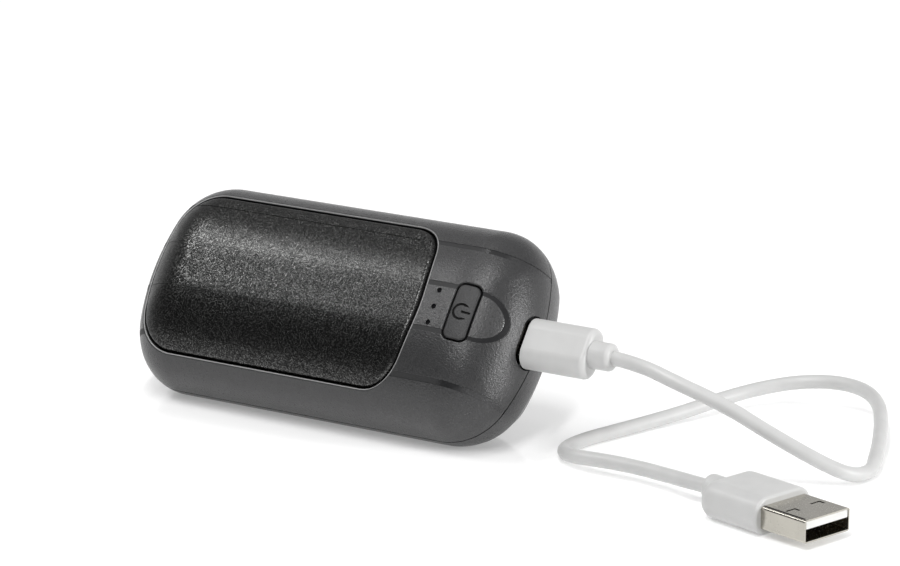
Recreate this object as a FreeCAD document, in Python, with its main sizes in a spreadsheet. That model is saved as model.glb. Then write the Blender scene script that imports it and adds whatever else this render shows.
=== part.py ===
import FreeCAD, Part
import math
import os
import Sketcher

Vector = FreeCAD.Vector
Rotation = FreeCAD.Rotation
Placement = FreeCAD.Placement
Constraint = Sketcher.Constraint

doc = FreeCAD.newDocument("hand_warmer")

# Driving dimensions, in millimetres and degrees.
# The casing's own axes: x along its length towards the port, y across its width,
# z out of the front face, with z = 0 at the parting line.
SIZES = {
    # casing
    "body_length": 92.0,
    "body_width": 45.4,
    "front_height": 14.4,
    "back_depth": 14.0,
    "end_arc": 45.0,
    "corner_arc": 12.2,
    "front_flat_setback": 14.6,
    "front_flat_width": 6.2,
    "front_flat_arc": 2.8,
    "lean": 38.0,
    "flank_start": 6.1,
    "flank_end": 12.6,
    "flank_trim": 0.05,
    "back_end_shoulder": 0.9,
    "back_end_flank": 4.9,
    "back_end_toe": 8.0,
    "wall": 2.0,
    "seam_width": 0.25,
    # polished channels of the front
    "channel_depth": 0.08,
    "engraving_depth": 0.25,
    "side_channel_spread": 28.8,
    "side_channel_width": 1.1,
    "arch_spread": 9.8,
    "arch_width": 1.05,
    "arch_setback": 8.0,
    # heat panel and what lies behind it
    "panel_port_margin": 21.0,
    "panel_rear_margin": 5.2,
    "panel_side_margin": 5.3,
    "panel_end_arc": 45.0,
    "panel_corner_arc": 8.4,
    "panel_sink": 0.2,
    "panel_gap": 0.35,
    "panel_edge": 1.2,
    "window_edge": 0.4,
    "panel_line_width": 0.3,
    "panel_line_depth": 0.08,
    "flange_reach": 2.0,
    "flange_gap": 0.15,
    "flange_thick": 0.9,
    "heater_inset": 1.5,
    "heater_thick": 0.3,
    "pad_margin": 1.0,
    # battery
    "cell_rear_setback": 11.0,
    "cell_port_setback": 29.0,
    "cell_width": 31.0,
    "cell_thick": 9.0,
    "cell_top": 5.5,
    "cell_round": 2.0,
    "tray_thick": 1.6,
    "tray_margin": 1.5,
    "tray_rim": 1.5,
    "post_diameter": 5.0,
    "tray_post_inset": 5.0,
    "tray_post_spread": 20.0,
    "tab_width": 4.0,
    "tab_thick": 0.2,
    "tab_spread": 12.0,
    "tab_length": 5.5,
    # boards
    "board_thick": 1.2,
    "main_board_top": 7.8,
    "main_board_setback": 24.5,
    "main_board_length": 16.5,
    "main_board_width": 23.0,
    "main_board_round": 4.0,
    "port_board_setback": 25.5,
    "port_board_length": 20.5,
    "port_board_width": 22.0,
    "port_board_round": 2.0,
    "header_setback": 22.0,
    "header_length": 10.2,
    "header_width": 2.5,
    "screw_diameter": 1.6,
    "screw_head": 3.0,
    "screw_head_height": 1.0,
    "screw_grip": 2.0,
    "screw_clearance": 0.1,
    "main_screw_setback": 16.5,
    "main_screw_spread": 18.4,
    "port_screw_setback": 19.5,
    "port_screw_spread": 15.6,
    "boss_diameter": 3.8,
    # button, switch and indicators
    "button_setback": 11.15,
    "button_length": 4.5,
    "button_width": 11.6,
    "button_round": 1.35,
    "button_gap": 0.35,
    "button_edge": 0.35,
    "button_window_edge": 0.3,
    "button_lip": 0.9,
    "button_travel": 0.4,
    "symbol_diameter": 3.55,
    "symbol_line": 0.48,
    "symbol_bar": 1.85,
    "symbol_gap": 2.4,
    "switch_side": 5.2,
    "switch_round": 0.5,
    "switch_height": 1.2,
    "plunger_diameter": 2.6,
    "plunger_height": 1.2,
    "stem_diameter": 3.0,
    "led_setback": 17.3,
    "led_pitch": 3.5,
    "led_long": 1.6,
    "led_wide": 0.8,
    "led_high": 0.7,
    "lens_diameter": 1.0,
    "lens_clearance": 0.05,
    "pipe_bar_width": 2.0,
    "pipe_bar_height": 1.3,
    # components on the boards
    "controller_side": 5.0,
    "charger_side": 4.0,
    "chip_height": 0.9,
    "inductor_side": 4.2,
    "inductor_height": 2.0,
    "inductor_round": 0.8,
    "inductor_setback": 11.1,
    "inductor_y": -7.6,
    "capacitor_long": 2.0,
    "capacitor_wide": 1.25,
    "capacitor_high": 1.2,
    "capacitor_pitch": 3.0,
    "capacitor_y": 4.2,
    # charging port
    "port_lift": 2.3,
    "port_depth": 2.0,
    "port_recess_width": 11.2,
    "port_recess_height": 7.1,
    "port_recess_round": 3.5,
    "port_wall": 1.8,
    "port_block_margin": 2.0,
    "socket_width": 9.1,
    "socket_height": 3.3,
    "socket_length": 7.3,
    "socket_setback": 0.6,
    "socket_wall": 0.25,
    "socket_slot_gap": 0.1,
    "stadium_flat": 0.02,
    "tongue_width": 6.6,
    "tongue_thick": 0.7,
    "tongue_round": 0.17,
    "tongue_length": 5.2,
    # charging lead
    "plug_gap": 1.5,
    "plug_shell_width": 8.2,
    "plug_shell_height": 2.36,
    "plug_shell_length": 7.6,
    "plug_shell_wall": 0.3,
    "plug_width": 10.5,
    "plug_height": 6.4,
    "plug_length": 14.4,
    "plug_round": 3.15,
    "plug_edge": 1.15,
    "plug_neck_diameter": 5.6,
    "plug_neck_length": 4.5,
    "neck_edge": 1.0,
    "cord_diameter": 2.9,
    "usb_a_front_x": 122.7,
    "usb_a_front_y": -23.35,
    "usb_a_turn": -15.85,
    "usb_a_width": 15.1,
    "usb_a_height": 7.45,
    "usb_a_length": 15.4,
    "usb_a_round": 3.45,
    "usb_a_front_edge": 0.6,
    "usb_a_back_edge": 2.5,
    "usb_a_neck_diameter": 5.5,
    "usb_a_neck_length": 4.1,
    "usb_a_shell_width": 12.0,
    "usb_a_shell_height": 4.5,
    "usb_a_shell_length": 11.2,
    "usb_a_shell_wall": 0.3,
    "usb_a_shell_round": 0.5,
    "shell_groove_width": 0.35,
    "shell_groove_depth": 0.2,
    "shell_groove_inset": 0.75,
    "shell_groove_setback": 0.7,
    "latch_bar_long": 0.45,
    "latch_bar_wide": 2.6,
    "latch_leg_long": 1.3,
    "latch_leg_wide": 0.5,
    "latch_spread": 6.6,
    "latch_setback": 6.4,
    "insulator_thick": 1.5,
    "insulator_setback": 0.1,
    "insulator_side_gap": 0.2,
    "contact_width": 1.0,
    "contact_thick": 0.15,
    "contact_pitch": 2.3,
    "contact_setback": 2.0,
}

# The lead's route between its two necks, in the casing's plan axes and in heights above the table.
CORD_ROUTE = [
    (70.7, -2.1, 21.0),
    (78.4, -1.6, 18.5),
    (87.6, 1.1, 14.8),
    (97.0, 3.5, 9.6),
    (106.2, 6.6, 4.7),
    (110.6, 10.5, 1.9),
    (111.9, 16.2, 1.45),
    (109.5, 22.5, 1.9),
    (106.3, 30.6, 2.6),
    (102.4, 39.1, 3.6),
    (98.1, 47.1, 4.7),
    (92.2, 52.9, 5.4),
    (84.7, 54.7, 5.5),
    (77.2, 52.3, 5.0),
    (71.2, 46.6, 4.1),
    (66.6, 39.1, 3.1),
    (63.2, 30.6, 2.1),
    (59.9, 21.9, 1.6),
    (57.0, 13.0, 1.45),
    (54.3, 4.4, 1.45),
    (53.8, -3.4, 1.45),
    (58.3, -8.9, 2.3),
    (65.7, -9.9, 3.0),
    (74.6, -10.1, 3.1),
    (83.8, -12.3, 3.3),
]
ARC_SHARE = 0.45

# Angles of the sections up the crown of the front.
FRONT_LEVELS = (0, 18, 36, 54, 72, 90)
LEVEL_TOLERANCE = 1e-4

# How near an edge must lie to a rim to belong to it, and the parts of its length that are tried.
RIM_TOLERANCE = 1e-3
RIM_TRIES = (0.02, 0.3, 0.5, 0.7, 0.98)

sheet = doc.addObject("Spreadsheet::Sheet", "Sizes")
for row, (alias, number) in enumerate(SIZES.items(), start=1):
    sheet.set(f"A{row}", alias)
    sheet.set(f"B{row}", str(number))
    sheet.setAlias(f"B{row}", alias)
doc.recompute()


def cells(expression):
    """The expression with every size's name turned into its cell of the sheet."""
    words = []
    word = ""
    for letter in expression + " ":
        if letter.isalnum() or letter in "_.":
            word += letter
            continue
        words.append(f"Sizes.{word}" if word in SIZES else word)
        words.append(letter)
        word = ""
    return "".join(words).strip()


def value(expression):
    """The number that an expression in size names gives."""
    return float(sheet.evalExpression(cells(expression)))


def bind(item, prop, expression):
    item.setExpression(prop, cells(expression))


def arc(x, y, radius, start, end):
    return Part.ArcOfCircle(Part.Circle(Vector(x, y, 0), Vector(0, 0, 1), radius), start, end)


def line(start, end):
    return Part.LineSegment(Vector(*start, 0), Vector(*end, 0))


def constrain(sketch, kind, *where, size):
    """A dimension of the sketch, bound to the sheet."""
    index = sketch.addConstraint(Constraint(kind, *where, value(size)))
    bind(sketch, f"Constraints[{index}]", size)


def barrel_outline(length, width, end_arc, corner_arc, centre="0"):
    """A rounded rectangle whose short ends are arched."""

    def draw(sketch):
        half_length = value(length) / 2
        half_width = value(width) / 2
        end = value(end_arc)
        corner = value(corner_arc)
        middle = value(centre)
        end_x = half_length - end
        reach = math.sqrt((end - corner) ** 2 - (half_width - corner) ** 2)
        spread = math.atan2(half_width - corner, reach)
        corner_x = end_x + reach
        corner_y = half_width - corner
        right = middle + corner_x
        left = middle - corner_x
        quarter = math.pi / 2
        sketch.addGeometry([
            arc(middle + end_x, 0, end, -spread, spread),
            arc(right, corner_y, corner, spread, quarter),
            line((right, half_width), (left, half_width)),
            arc(left, corner_y, corner, quarter, math.pi - spread),
            arc(middle - end_x, 0, end, math.pi - spread, math.pi + spread),
            arc(left, -corner_y, corner, math.pi + spread, 3 * quarter),
            line((left, -half_width), (right, -half_width)),
            arc(right, -corner_y, corner, 3 * quarter, 2 * math.pi - spread),
        ], False)
        tips = sketch.addGeometry([
            Part.Point(Vector(middle + half_length, 0, 0)),
            Part.Point(Vector(middle - half_length, 0, 0)),
        ], True)
        for edge in range(8):
            sketch.addConstraint(Constraint("Tangent", edge, 2, (edge + 1) % 8, 1))
        for edge, tip in ((0, tips[0]), (4, tips[1])):
            sketch.addConstraint(Constraint("PointOnObject", edge, 3, -1))
            sketch.addConstraint(Constraint("PointOnObject", tip, 1, -1))
            sketch.addConstraint(Constraint("PointOnObject", tip, 1, edge))
            constrain(sketch, "Radius", edge, size=end_arc)
        for edge in (1, 3, 5, 7):
            constrain(sketch, "Radius", edge, size=corner_arc)
        for edge in (2, 6):
            sketch.addConstraint(Constraint("Horizontal", edge))
        constrain(sketch, "DistanceY", 6, 1, 2, 2, size=width)
        constrain(sketch, "DistanceY", -1, 1, 2, 2, size=f"({width}) / 2")
        constrain(sketch, "DistanceX", tips[1], 1, tips[0], 1, size=length)
        constrain(sketch, "DistanceX", -1, 1, tips[0], 1, size=f"({centre}) + ({length}) / 2")

    return draw


def round_rectangle(length, width, radius, x="0", y="0"):
    """A rectangle with four round corners, length along x."""

    def draw(sketch):
        corner = value(radius)
        centre_x = value(x)
        centre_y = value(y)
        half_length = value(length) / 2
        half_width = value(width) / 2
        right = centre_x + half_length
        left = centre_x - half_length
        top = centre_y + half_width
        low = centre_y - half_width
        quarter = math.pi / 2
        sketch.addGeometry([
            line((right, low + corner), (right, top - corner)),
            arc(right - corner, top - corner, corner, 0, quarter),
            line((right - corner, top), (left + corner, top)),
            arc(left + corner, top - corner, corner, quarter, 2 * quarter),
            line((left, top - corner), (left, low + corner)),
            arc(left + corner, low + corner, corner, 2 * quarter, 3 * quarter),
            line((left + corner, low), (right - corner, low)),
            arc(right - corner, low + corner, corner, 3 * quarter, 4 * quarter),
        ], False)
        for edge in range(8):
            sketch.addConstraint(Constraint("Tangent", edge, 2, (edge + 1) % 8, 1))
        sketch.addConstraint(Constraint("Vertical", 0))
        sketch.addConstraint(Constraint("Horizontal", 2))
        for edge in (1, 3, 5, 7):
            constrain(sketch, "Radius", edge, size=radius)
        constrain(sketch, "DistanceX", 4, 1, 0, 1, size=length)
        constrain(sketch, "DistanceY", 6, 1, 2, 1, size=width)
        constrain(sketch, "DistanceX", -1, 1, 0, 1, size=f"({x}) + ({length}) / 2")
        constrain(sketch, "DistanceY", -1, 1, 2, 1, size=f"({y}) + ({width}) / 2")

    return draw


def disc(diameter, x="0", y="0"):
    def draw(sketch):
        circle = Part.Circle(Vector(value(x), value(y), 0), Vector(0, 0, 1), value(diameter) / 2)
        sketch.addGeometry(circle, False)
        constrain(sketch, "Diameter", 0, size=diameter)
        constrain(sketch, "DistanceX", -1, 1, 0, 3, size=x)
        constrain(sketch, "DistanceY", -1, 1, 0, 3, size=y)

    return draw


def arch_outline(start, centre, spread, width):
    """A narrow U: two straight legs joined by a half circle."""

    def draw(sketch):
        begin = value(start)
        middle = value(centre)
        outer = (value(spread) + value(width)) / 2
        inner = (value(spread) - value(width)) / 2
        quarter = math.pi / 2
        sketch.addGeometry([
            line((begin, -outer), (middle, -outer)),
            arc(middle, 0, outer, -quarter, quarter),
            line((middle, outer), (begin, outer)),
            line((begin, outer), (begin, inner)),
            line((begin, inner), (middle, inner)),
            arc(middle, 0, inner, -quarter, quarter),
            line((middle, -inner), (begin, -inner)),
            line((begin, -inner), (begin, -outer)),
        ], False)
        for first, second in ((0, 1), (1, 2)):
            sketch.addConstraint(Constraint("Tangent", first, 2, second, 1))
        for first, second in ((2, 3), (3, 4), (6, 7), (7, 0)):
            sketch.addConstraint(Constraint("Coincident", first, 2, second, 1))
        sketch.addConstraint(Constraint("Tangent", 4, 2, 5, 2))
        sketch.addConstraint(Constraint("Tangent", 5, 1, 6, 1))
        for edge in (0, 4):
            sketch.addConstraint(Constraint("Horizontal", edge))
        for edge in (3, 7):
            sketch.addConstraint(Constraint("Vertical", edge))
        sketch.addConstraint(Constraint("Coincident", 1, 3, 5, 3))
        sketch.addConstraint(Constraint("PointOnObject", 1, 3, -1))
        constrain(sketch, "Radius", 1, size=f"({spread} + {width}) / 2")
        constrain(sketch, "Radius", 5, size=f"({spread} - {width}) / 2")
        constrain(sketch, "DistanceX", -1, 1, 1, 3, size=centre)
        constrain(sketch, "DistanceX", -1, 1, 3, 1, size=start)

    return draw


def free_sketch(name, outline, level):
    sketch = doc.addObject("Sketcher::SketchObject", name)
    bind(sketch, "Placement.Base.z", level)
    outline(sketch)
    return sketch


def prism(name, outline, bottom, height):
    """An outline drawn at a level of the casing and raised along z."""
    solid = doc.addObject("Part::Extrusion", name)
    solid.Base = free_sketch(f"{name}_outline", outline, bottom)
    solid.DirMode = "Normal"
    bind(solid, "LengthFwd", height)
    solid.Solid = True
    return solid


def block(name, length, width, height, x, y, bottom):
    """A box centred at x, y, standing on a level."""
    box = doc.addObject("Part::Box", name)
    bind(box, "Length", length)
    bind(box, "Width", width)
    bind(box, "Height", height)
    bind(box, "Placement.Base.x", f"{x} - ({length}) / 2")
    bind(box, "Placement.Base.y", f"{y} - ({width}) / 2")
    bind(box, "Placement.Base.z", bottom)
    return box


def rod(name, diameter, height, x, y, bottom):
    cylinder = doc.addObject("Part::Cylinder", name)
    bind(cylinder, "Radius", f"({diameter}) / 2")
    bind(cylinder, "Height", height)
    bind(cylinder, "Placement.Base.x", x)
    bind(cylinder, "Placement.Base.y", y)
    bind(cylinder, "Placement.Base.z", bottom)
    return cylinder


def cut(name, base, tool):
    result = doc.addObject("Part::Cut", name)
    result.Base = base
    result.Tool = tool
    return result


def common(name, first, second):
    result = doc.addObject("Part::Common", name)
    result.Base = first
    result.Tool = second
    return result


def fuse(name, shapes):
    result = doc.addObject("Part::MultiFuse", name)
    result.Shapes = shapes
    return result


def group(name, shapes):
    """One or more solids as they lie, under a placement of their own."""
    result = doc.addObject("Part::Compound", name)
    result.Links = shapes
    return result


def loft(name, sections, ruled):
    solid = doc.addObject("Part::Loft", name)
    solid.Sections = sections
    solid.Solid = True
    solid.Ruled = ruled
    return solid


FLAT_LENGTH = "(body_length - 2 * front_flat_setback)"


def crown(name, inset):
    """The front's pillow form, drawn in all round by an inset."""
    sections = []
    for angle in FRONT_LEVELS:
        outline = barrel_outline(
            f"{FLAT_LENGTH} + 2 * (front_flat_setback - {inset}) * cos({angle})",
            f"front_flat_width + (body_width - front_flat_width - 2 * {inset}) * cos({angle})",
            "end_arc",
            f"front_flat_arc + (corner_arc - front_flat_arc - {inset}) * cos({angle})")
        level = f"(front_height - {inset}) * sin({angle})"
        sections.append(free_sketch(f"{name}_at_{angle}", outline, level))
    return loft(name, sections, False)


SHOULDER_ARC = "(flank_start / sin(lean))"
SHOULDER_INSET = f"({SHOULDER_ARC} * (1 - cos(lean)))"
FLANK_INSET = f"({SHOULDER_INSET} + (flank_end - flank_start) * tan(lean))"
TOE_ARC = "((back_depth - flank_end) / (1 - sin(lean)))"
FLANK_REACH = f"(cos(lean) * (body_width / 2 - {SHOULDER_INSET}) + sin(lean) * flank_start - flank_trim)"


def back_section(name, inset, side_inset, end_inset, depth):
    width = f"(body_width - 2 * {inset} - 2 * ({side_inset}))"
    outline = barrel_outline(
        f"body_length - 2 * {inset} - 2 * ({end_inset})", width, "end_arc",
        f"(corner_arc - {inset}) * {width} / (body_width - 2 * {inset})")
    return free_sketch(name, outline, f"0 - ({depth})")


def tub(name, inset):
    """The back's form: a round shoulder, flat flanks and a round toe down to a flat floor."""
    shoulder = []
    for part, angle in enumerate(("0", "lean / 2", "lean")):
        swing = f"(1 - cos({angle}))"
        shoulder.append(back_section(
            f"{name}_shoulder_{part}", inset, f"{SHOULDER_ARC} * {swing}",
            f"back_end_shoulder * {swing} / (1 - cos(lean))", f"{SHOULDER_ARC} * sin({angle})"))
    toe = []
    for part, angle in enumerate(("lean", "(lean + 90) / 2", "90")):
        swing = f"(cos(lean) - cos({angle}))"
        toe.append(back_section(
            f"{name}_toe_{part}", inset, f"{FLANK_INSET} + {TOE_ARC} * {swing}",
            f"back_end_flank + (back_end_toe - back_end_flank) * {swing} / cos(lean)",
            f"flank_end - {inset} + {TOE_ARC} * (sin({angle}) - sin(lean))"))
    return fuse(name, [
        loft(f"{name}_shoulder", shoulder, False),
        loft(f"{name}_flank", [shoulder[-1], toe[0]], True),
        loft(f"{name}_toe", toe, False),
    ])


def pebble(name, inset):
    """The whole casing form, drawn in all round by an inset."""
    return fuse(name, [crown(f"{name}_crown", inset), tub(f"{name}_tub", inset)])


def new_body(node):
    return doc.addObject("PartDesign::Body", node)


def body_sketch(body, name, outline, level):
    sketch = body.newObject("Sketcher::SketchObject", name)
    plane = next(item for item in body.Origin.OriginFeatures if item.Role == "XY_Plane")
    sketch.AttachmentSupport = [(plane, "")]
    sketch.MapMode = "FlatFace"
    bind(sketch, "AttachmentOffset.Base.z", level)
    outline(sketch)
    return sketch


def pad(body, name, outline, level, height):
    feature = body.newObject("PartDesign::Pad", name)
    feature.Profile = body_sketch(body, f"{name}_outline", outline, level)
    bind(feature, "Length", height)
    return feature


def pocket(body, name, outline, level, depth):
    """A cut that starts at a level and goes up by its depth."""
    feature = body.newObject("PartDesign::Pocket", name)
    feature.Profile = body_sketch(body, f"{name}_outline", outline, level)
    feature.Reversed = True
    bind(feature, "Length", depth)
    return feature


def round_rim(body, name, level, radius):
    """Rounds every edge of the body that lies in one level."""
    doc.recompute()
    base = body.Tip
    height = value(level)
    rim = []
    for number, edge in enumerate(base.Shape.Edges, start=1):
        box = edge.BoundBox
        if max(abs(box.ZMin - height), abs(box.ZMax - height)) < LEVEL_TOLERANCE:
            rim.append(f"Edge{number}")
    feature = body.newObject("PartDesign::Fillet", name)
    feature.Base = (base, rim)
    bind(feature, "Radius", radius)
    return feature


def round_mouth(name, base, upright, surface, radius):
    """Rounds the edges where the upright sides of an outline meet a curved surface."""
    doc.recompute()
    outline = upright.Base.Shape.copy()
    outline.translate(Vector(0, 0, -outline.BoundBox.ZMin))
    skin_shell = surface.Shape.Shells[0]
    size = value(radius)
    rim = []
    for number, edge in enumerate(base.Shape.Edges, start=1):
        first = edge.FirstParameter
        reach = edge.LastParameter - first
        spots = [edge.valueAt(first + part * reach) for part in RIM_TRIES]
        in_plan = max(Part.Vertex(spot.x, spot.y, 0).distToShape(outline)[0] for spot in spots)
        on_skin = max(Part.Vertex(spot).distToShape(skin_shell)[0] for spot in spots)
        if max(in_plan, on_skin) < RIM_TOLERANCE:
            rim.append((number, size, size))
    feature = doc.addObject("Part::Fillet", name)
    feature.Base = base
    feature.Edges = rim
    return feature


BIG = "body_length + body_width"


def flank_cutter(name, side):
    """A block beyond the flat flank of one long side of the back; side is -1 or 1."""
    reach = FLANK_REACH
    cutter = doc.addObject("Part::Box", name)
    for prop in ("Length", "Width", "Height"):
        bind(cutter, prop, BIG)
    cutter.Placement.Rotation = Rotation(Vector(1, 0, 0), 1)
    bind(cutter, "Placement.Rotation.Angle", f"{-side} * (90 + lean)")
    bind(cutter, "Placement.Base.x", f"0 - ({BIG}) / 2")
    bind(cutter, "Placement.Base.y", f"{side} * cos(lean) * ({reach}) + sin(lean) * ({BIG}) / 2")
    bind(cutter, "Placement.Base.z", f"0 - sin(lean) * ({reach}) + {side} * cos(lean) * ({BIG}) / 2")
    return cutter


nodes = {}

# Casing forms
skin = pebble("skin", "0")
engraving_floor = pebble("engraving_floor", "engraving_depth")
channel_floor = crown("channel_floor", "channel_depth")
cavity = pebble("cavity", "wall")
front_half = block("front_half", BIG, BIG, BIG, "0", "0", "0")
back_half = block("back_half", BIG, BIG, BIG, "0", "0", f"0 - ({BIG})")

PANEL_BACK = "(wall + flange_gap + flange_thick)"
HEATER_BACK = "(wall + flange_gap + flange_thick + heater_thick)"
panel_face = crown("panel_face", "panel_sink")
panel_line_floor = crown("panel_line_floor", "(panel_sink + panel_line_depth)")
lip_face = crown("lip_face", "(wall + flange_gap)")
panel_back = crown("panel_back", PANEL_BACK)
heater_back = crown("heater_back", HEATER_BACK)

# Levels and places that several pieces share
FACE = "front_height"
HIGH = "(front_height + wall)"
CASE_END = "(body_length / 2)"
PORT_FLOOR = f"({CASE_END} - port_depth)"
PANEL_LENGTH = "(body_length - panel_port_margin - panel_rear_margin)"
PANEL_WIDTH = "(body_width - 2 * panel_side_margin)"
PANEL_CENTRE = "((panel_rear_margin - panel_port_margin) / 2)"
ARCH_CENTRE = f"({CASE_END} - arch_setback)"
MAIN_BOARD_START = f"({CASE_END} - main_board_setback)"
PORT_BOARD_START = f"({CASE_END} - port_board_setback)"
HEADER_X = f"({CASE_END} - header_setback)"
MAIN_SCREW_X = f"({CASE_END} - main_screw_setback)"
PORT_SCREW_X = f"({CASE_END} - port_screw_setback)"
INDUCTOR_X = f"({CASE_END} - inductor_setback)"
BUTTON_X = f"({CASE_END} - button_setback)"
LED_X = f"({CASE_END} - led_setback)"
BLOCK_BACK = f"({PORT_FLOOR} - port_wall)"
PORT_BOARD_TOP = "(port_lift - socket_height / 2)"
PORT_BOARD_LOW = f"({PORT_BOARD_TOP} - board_thick)"
MAIN_BOARD_LOW = "(main_board_top - board_thick)"
CELL_LENGTH = "(body_length - cell_rear_setback - cell_port_setback)"
CELL_CENTRE = "((cell_rear_setback - cell_port_setback) / 2)"
POST_REACH = f"({CELL_LENGTH} / 2 - tray_post_inset)"
CELL_LOW = "(cell_top - cell_thick)"
TRAY_LOW = f"({CELL_LOW} - tray_thick)"
FLOOR_INSIDE = "(0 - back_depth + wall)"
SWITCH_TOP = "(main_board_top + switch_height)"
PLUNGER_LOW = f"({SWITCH_TOP} - plunger_height / 2)"
PLUNGER_TOP = f"({PLUNGER_LOW} + plunger_height)"
SCREW_HOLE = "screw_diameter + screw_clearance"


def panel_outline(grow):
    return barrel_outline(f"{PANEL_LENGTH} + 2 * ({grow})", f"{PANEL_WIDTH} + 2 * ({grow})", "panel_end_arc",
                          f"panel_corner_arc + ({grow})", PANEL_CENTRE)


def along_x(body, x):
    """Lays a body that was drawn along z along the port's axis instead, from a given x."""
    body.Placement = Placement(Vector(value(x), 0, value("port_lift")), Rotation(Vector(0, 1, 0), 90))
    return body


def stadium(height, width):
    """A rectangle with fully round short ends."""
    return round_rectangle(height, width, f"({height} - stadium_flat) / 2")


def port_prism(name, outline, start, length):
    """An outline drawn across the port and carried along x."""
    body = new_body(name)
    pad(body, f"{name}_pad", outline, "0", length)
    return along_x(body, start)


# Front shell
port_block = common("port_block", skin, block(
    "port_block_box", f"{CASE_END} - {BLOCK_BACK}", "port_recess_width + 2 * port_block_margin",
    "port_recess_height + 2 * port_block_margin", f"({CASE_END} + {BLOCK_BACK}) / 2", "0",
    "port_lift - port_recess_height / 2 - port_block_margin"))
port_recess = port_prism("port_recess", round_rectangle("port_recess_height", "port_recess_width",
                                                        "port_recess_round"), PORT_FLOOR, "port_depth + wall")
socket_slot = port_prism("socket_slot", stadium("socket_height + 2 * socket_slot_gap",
                                                "socket_width + 2 * socket_slot_gap"),
                         f"{BLOCK_BACK} - wall", "port_wall + 2 * wall")
bosses = []
boss_holes = []
for side, sign in (("low", "-1"), ("high", "1")):
    place = (MAIN_SCREW_X, f"{sign} * main_screw_spread / 2")
    boss = rod(f"boss_{side}", "boss_diameter", f"{FACE} - main_board_top", *place, "main_board_top")
    bosses.append(common(f"boss_{side}_trimmed", boss, engraving_floor))
    boss_holes.append(rod(f"boss_hole_{side}", SCREW_HOLE, "screw_grip", *place, "main_board_top"))
front_solid = fuse("front_solid", [cut("front_hollow", skin, cavity), port_block, *bosses])
front_blank = common("front_blank", front_solid, front_half)
side_channels = fuse("side_channels", [
    block(f"side_channel_{side}", CASE_END, "side_channel_width", HIGH, "body_length / 4",
          f"{sign} * side_channel_spread / 2", "0") for side, sign in (("low", "-1"), ("high", "1"))])
arch = prism("arch", arch_outline("0", ARCH_CENTRE, "arch_spread", "arch_width"), "0", HIGH)
seam = block("seam", BIG, BIG, "seam_width", "0", "0", "0 - seam_width / 2")
channels = cut("channels", fuse("channel_prisms", [side_channels, arch]), channel_floor)
seam_groove = cut("seam_groove", seam, engraving_floor)
panel_window = prism("panel_window", panel_outline("panel_gap"), "0", HIGH)
button_window = prism("button_window", round_rectangle(
    "button_length + 2 * button_gap", "button_width + 2 * button_gap", "button_round + button_gap", BUTTON_X),
    "main_board_top", HIGH)
lens_holes = [
    rod(f"lens_hole_{number}", "lens_diameter + 2 * lens_clearance", HIGH, LED_X, f"{place} * led_pitch",
        "main_board_top") for number, place in ((1, -1), (2, 0), (3, 1))]
front_openings = fuse("front_openings", [panel_window, button_window, *lens_holes, *boss_holes])
port_openings = fuse("port_openings", [port_recess, socket_slot])
front_opened = cut("front_opened", front_blank, front_openings)
front_framed = round_mouth("front_framed", front_opened, panel_window, skin, "window_edge")
front_rounded = round_mouth("front_rounded", front_framed, button_window, skin, "button_window_edge")
front_ported = cut("front_ported", front_rounded, port_openings)
nodes["front_shell"] = cut("front_shell", front_ported, fuse("front_grooves", [channels, seam_groove]))

# Back shell
posts = []
post_holes = []
for end, across in (("rear", "-1"), ("port", "1")):
    for side, sign in (("low", "-1"), ("high", "1")):
        posts.append(rod(
            f"tray_post_{end}_{side}", "post_diameter", f"{TRAY_LOW} - {FLOOR_INSIDE} + wall / 2",
            f"{CELL_CENTRE} + {across} * {POST_REACH}", f"{sign} * tray_post_spread / 2",
            f"{FLOOR_INSIDE} - wall / 2"))
for side, sign in (("low", "-1"), ("high", "1")):
    place = (PORT_SCREW_X, f"{sign} * port_screw_spread / 2")
    posts.append(rod(f"board_post_{side}", "post_diameter", f"{PORT_BOARD_LOW} - {FLOOR_INSIDE} + wall / 2",
                     *place, f"{FLOOR_INSIDE} - wall / 2"))
    post_holes.append(rod(f"board_post_hole_{side}", SCREW_HOLE, "screw_grip", *place,
                          f"{PORT_BOARD_LOW} - screw_grip"))
back_flanks = fuse("back_flanks", [
    flank_cutter("flank_low", -1),
    flank_cutter("flank_high", 1),
])
back_hollow = common("back_hollow", cut("back_outer", skin, back_flanks), back_half)
back_solid = fuse("back_solid", [cut("back_wall", back_hollow, cavity),
                                 common("back_port_block", port_block, back_half), *posts])
back_ported = cut("back_ported", back_solid, port_openings)
back_drilled = cut("back_drilled", back_ported, fuse("post_holes", post_holes))
nodes["back_shell"] = cut("back_shell", back_drilled, seam_groove)

# Heat panel with its inside flange, film heater and insulation
panel_prism = prism("panel_prism", panel_outline("0"), "0", HIGH)
sharp_plate = common("panel_plate", panel_prism, cut("panel_slab", panel_face, panel_back))
plate = round_mouth("panel_plate_rounded", sharp_plate, panel_prism, panel_face, "panel_edge")
flange = common("panel_flange", prism("flange_prism", panel_outline("flange_reach"), "0", HIGH),
                cut("flange_slab", lip_face, panel_back))
panel_lines = cut("panel_lines", fuse("panel_line_prisms", [
    block(f"panel_line_{spread}_{side}", PANEL_LENGTH, "panel_line_width", HIGH, PANEL_CENTRE,
          f"{sign} * {spread} / 2", "0")
    for spread in ("side_channel_spread", "arch_spread") for side, sign in (("low", "-1"), ("high", "1"))]),
    panel_line_floor)
nodes["heat_panel"] = cut("heat_panel", fuse("panel_solid", [plate, flange]), panel_lines)
heater_prism = prism("heater_prism", panel_outline("0 - heater_inset"), "cell_top", HIGH)
nodes["heater_film"] = common("heater_film", heater_prism, cut("heater_slab", panel_back, heater_back))
pad_outline = round_rectangle(f"{CELL_LENGTH} - 2 * pad_margin", "cell_width - 2 * pad_margin",
                              "cell_round", CELL_CENTRE)
pad_prism = prism("pad_prism", pad_outline, "cell_top", HIGH)
nodes["insulation_pad"] = common("insulation_pad", pad_prism, heater_back)

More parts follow.
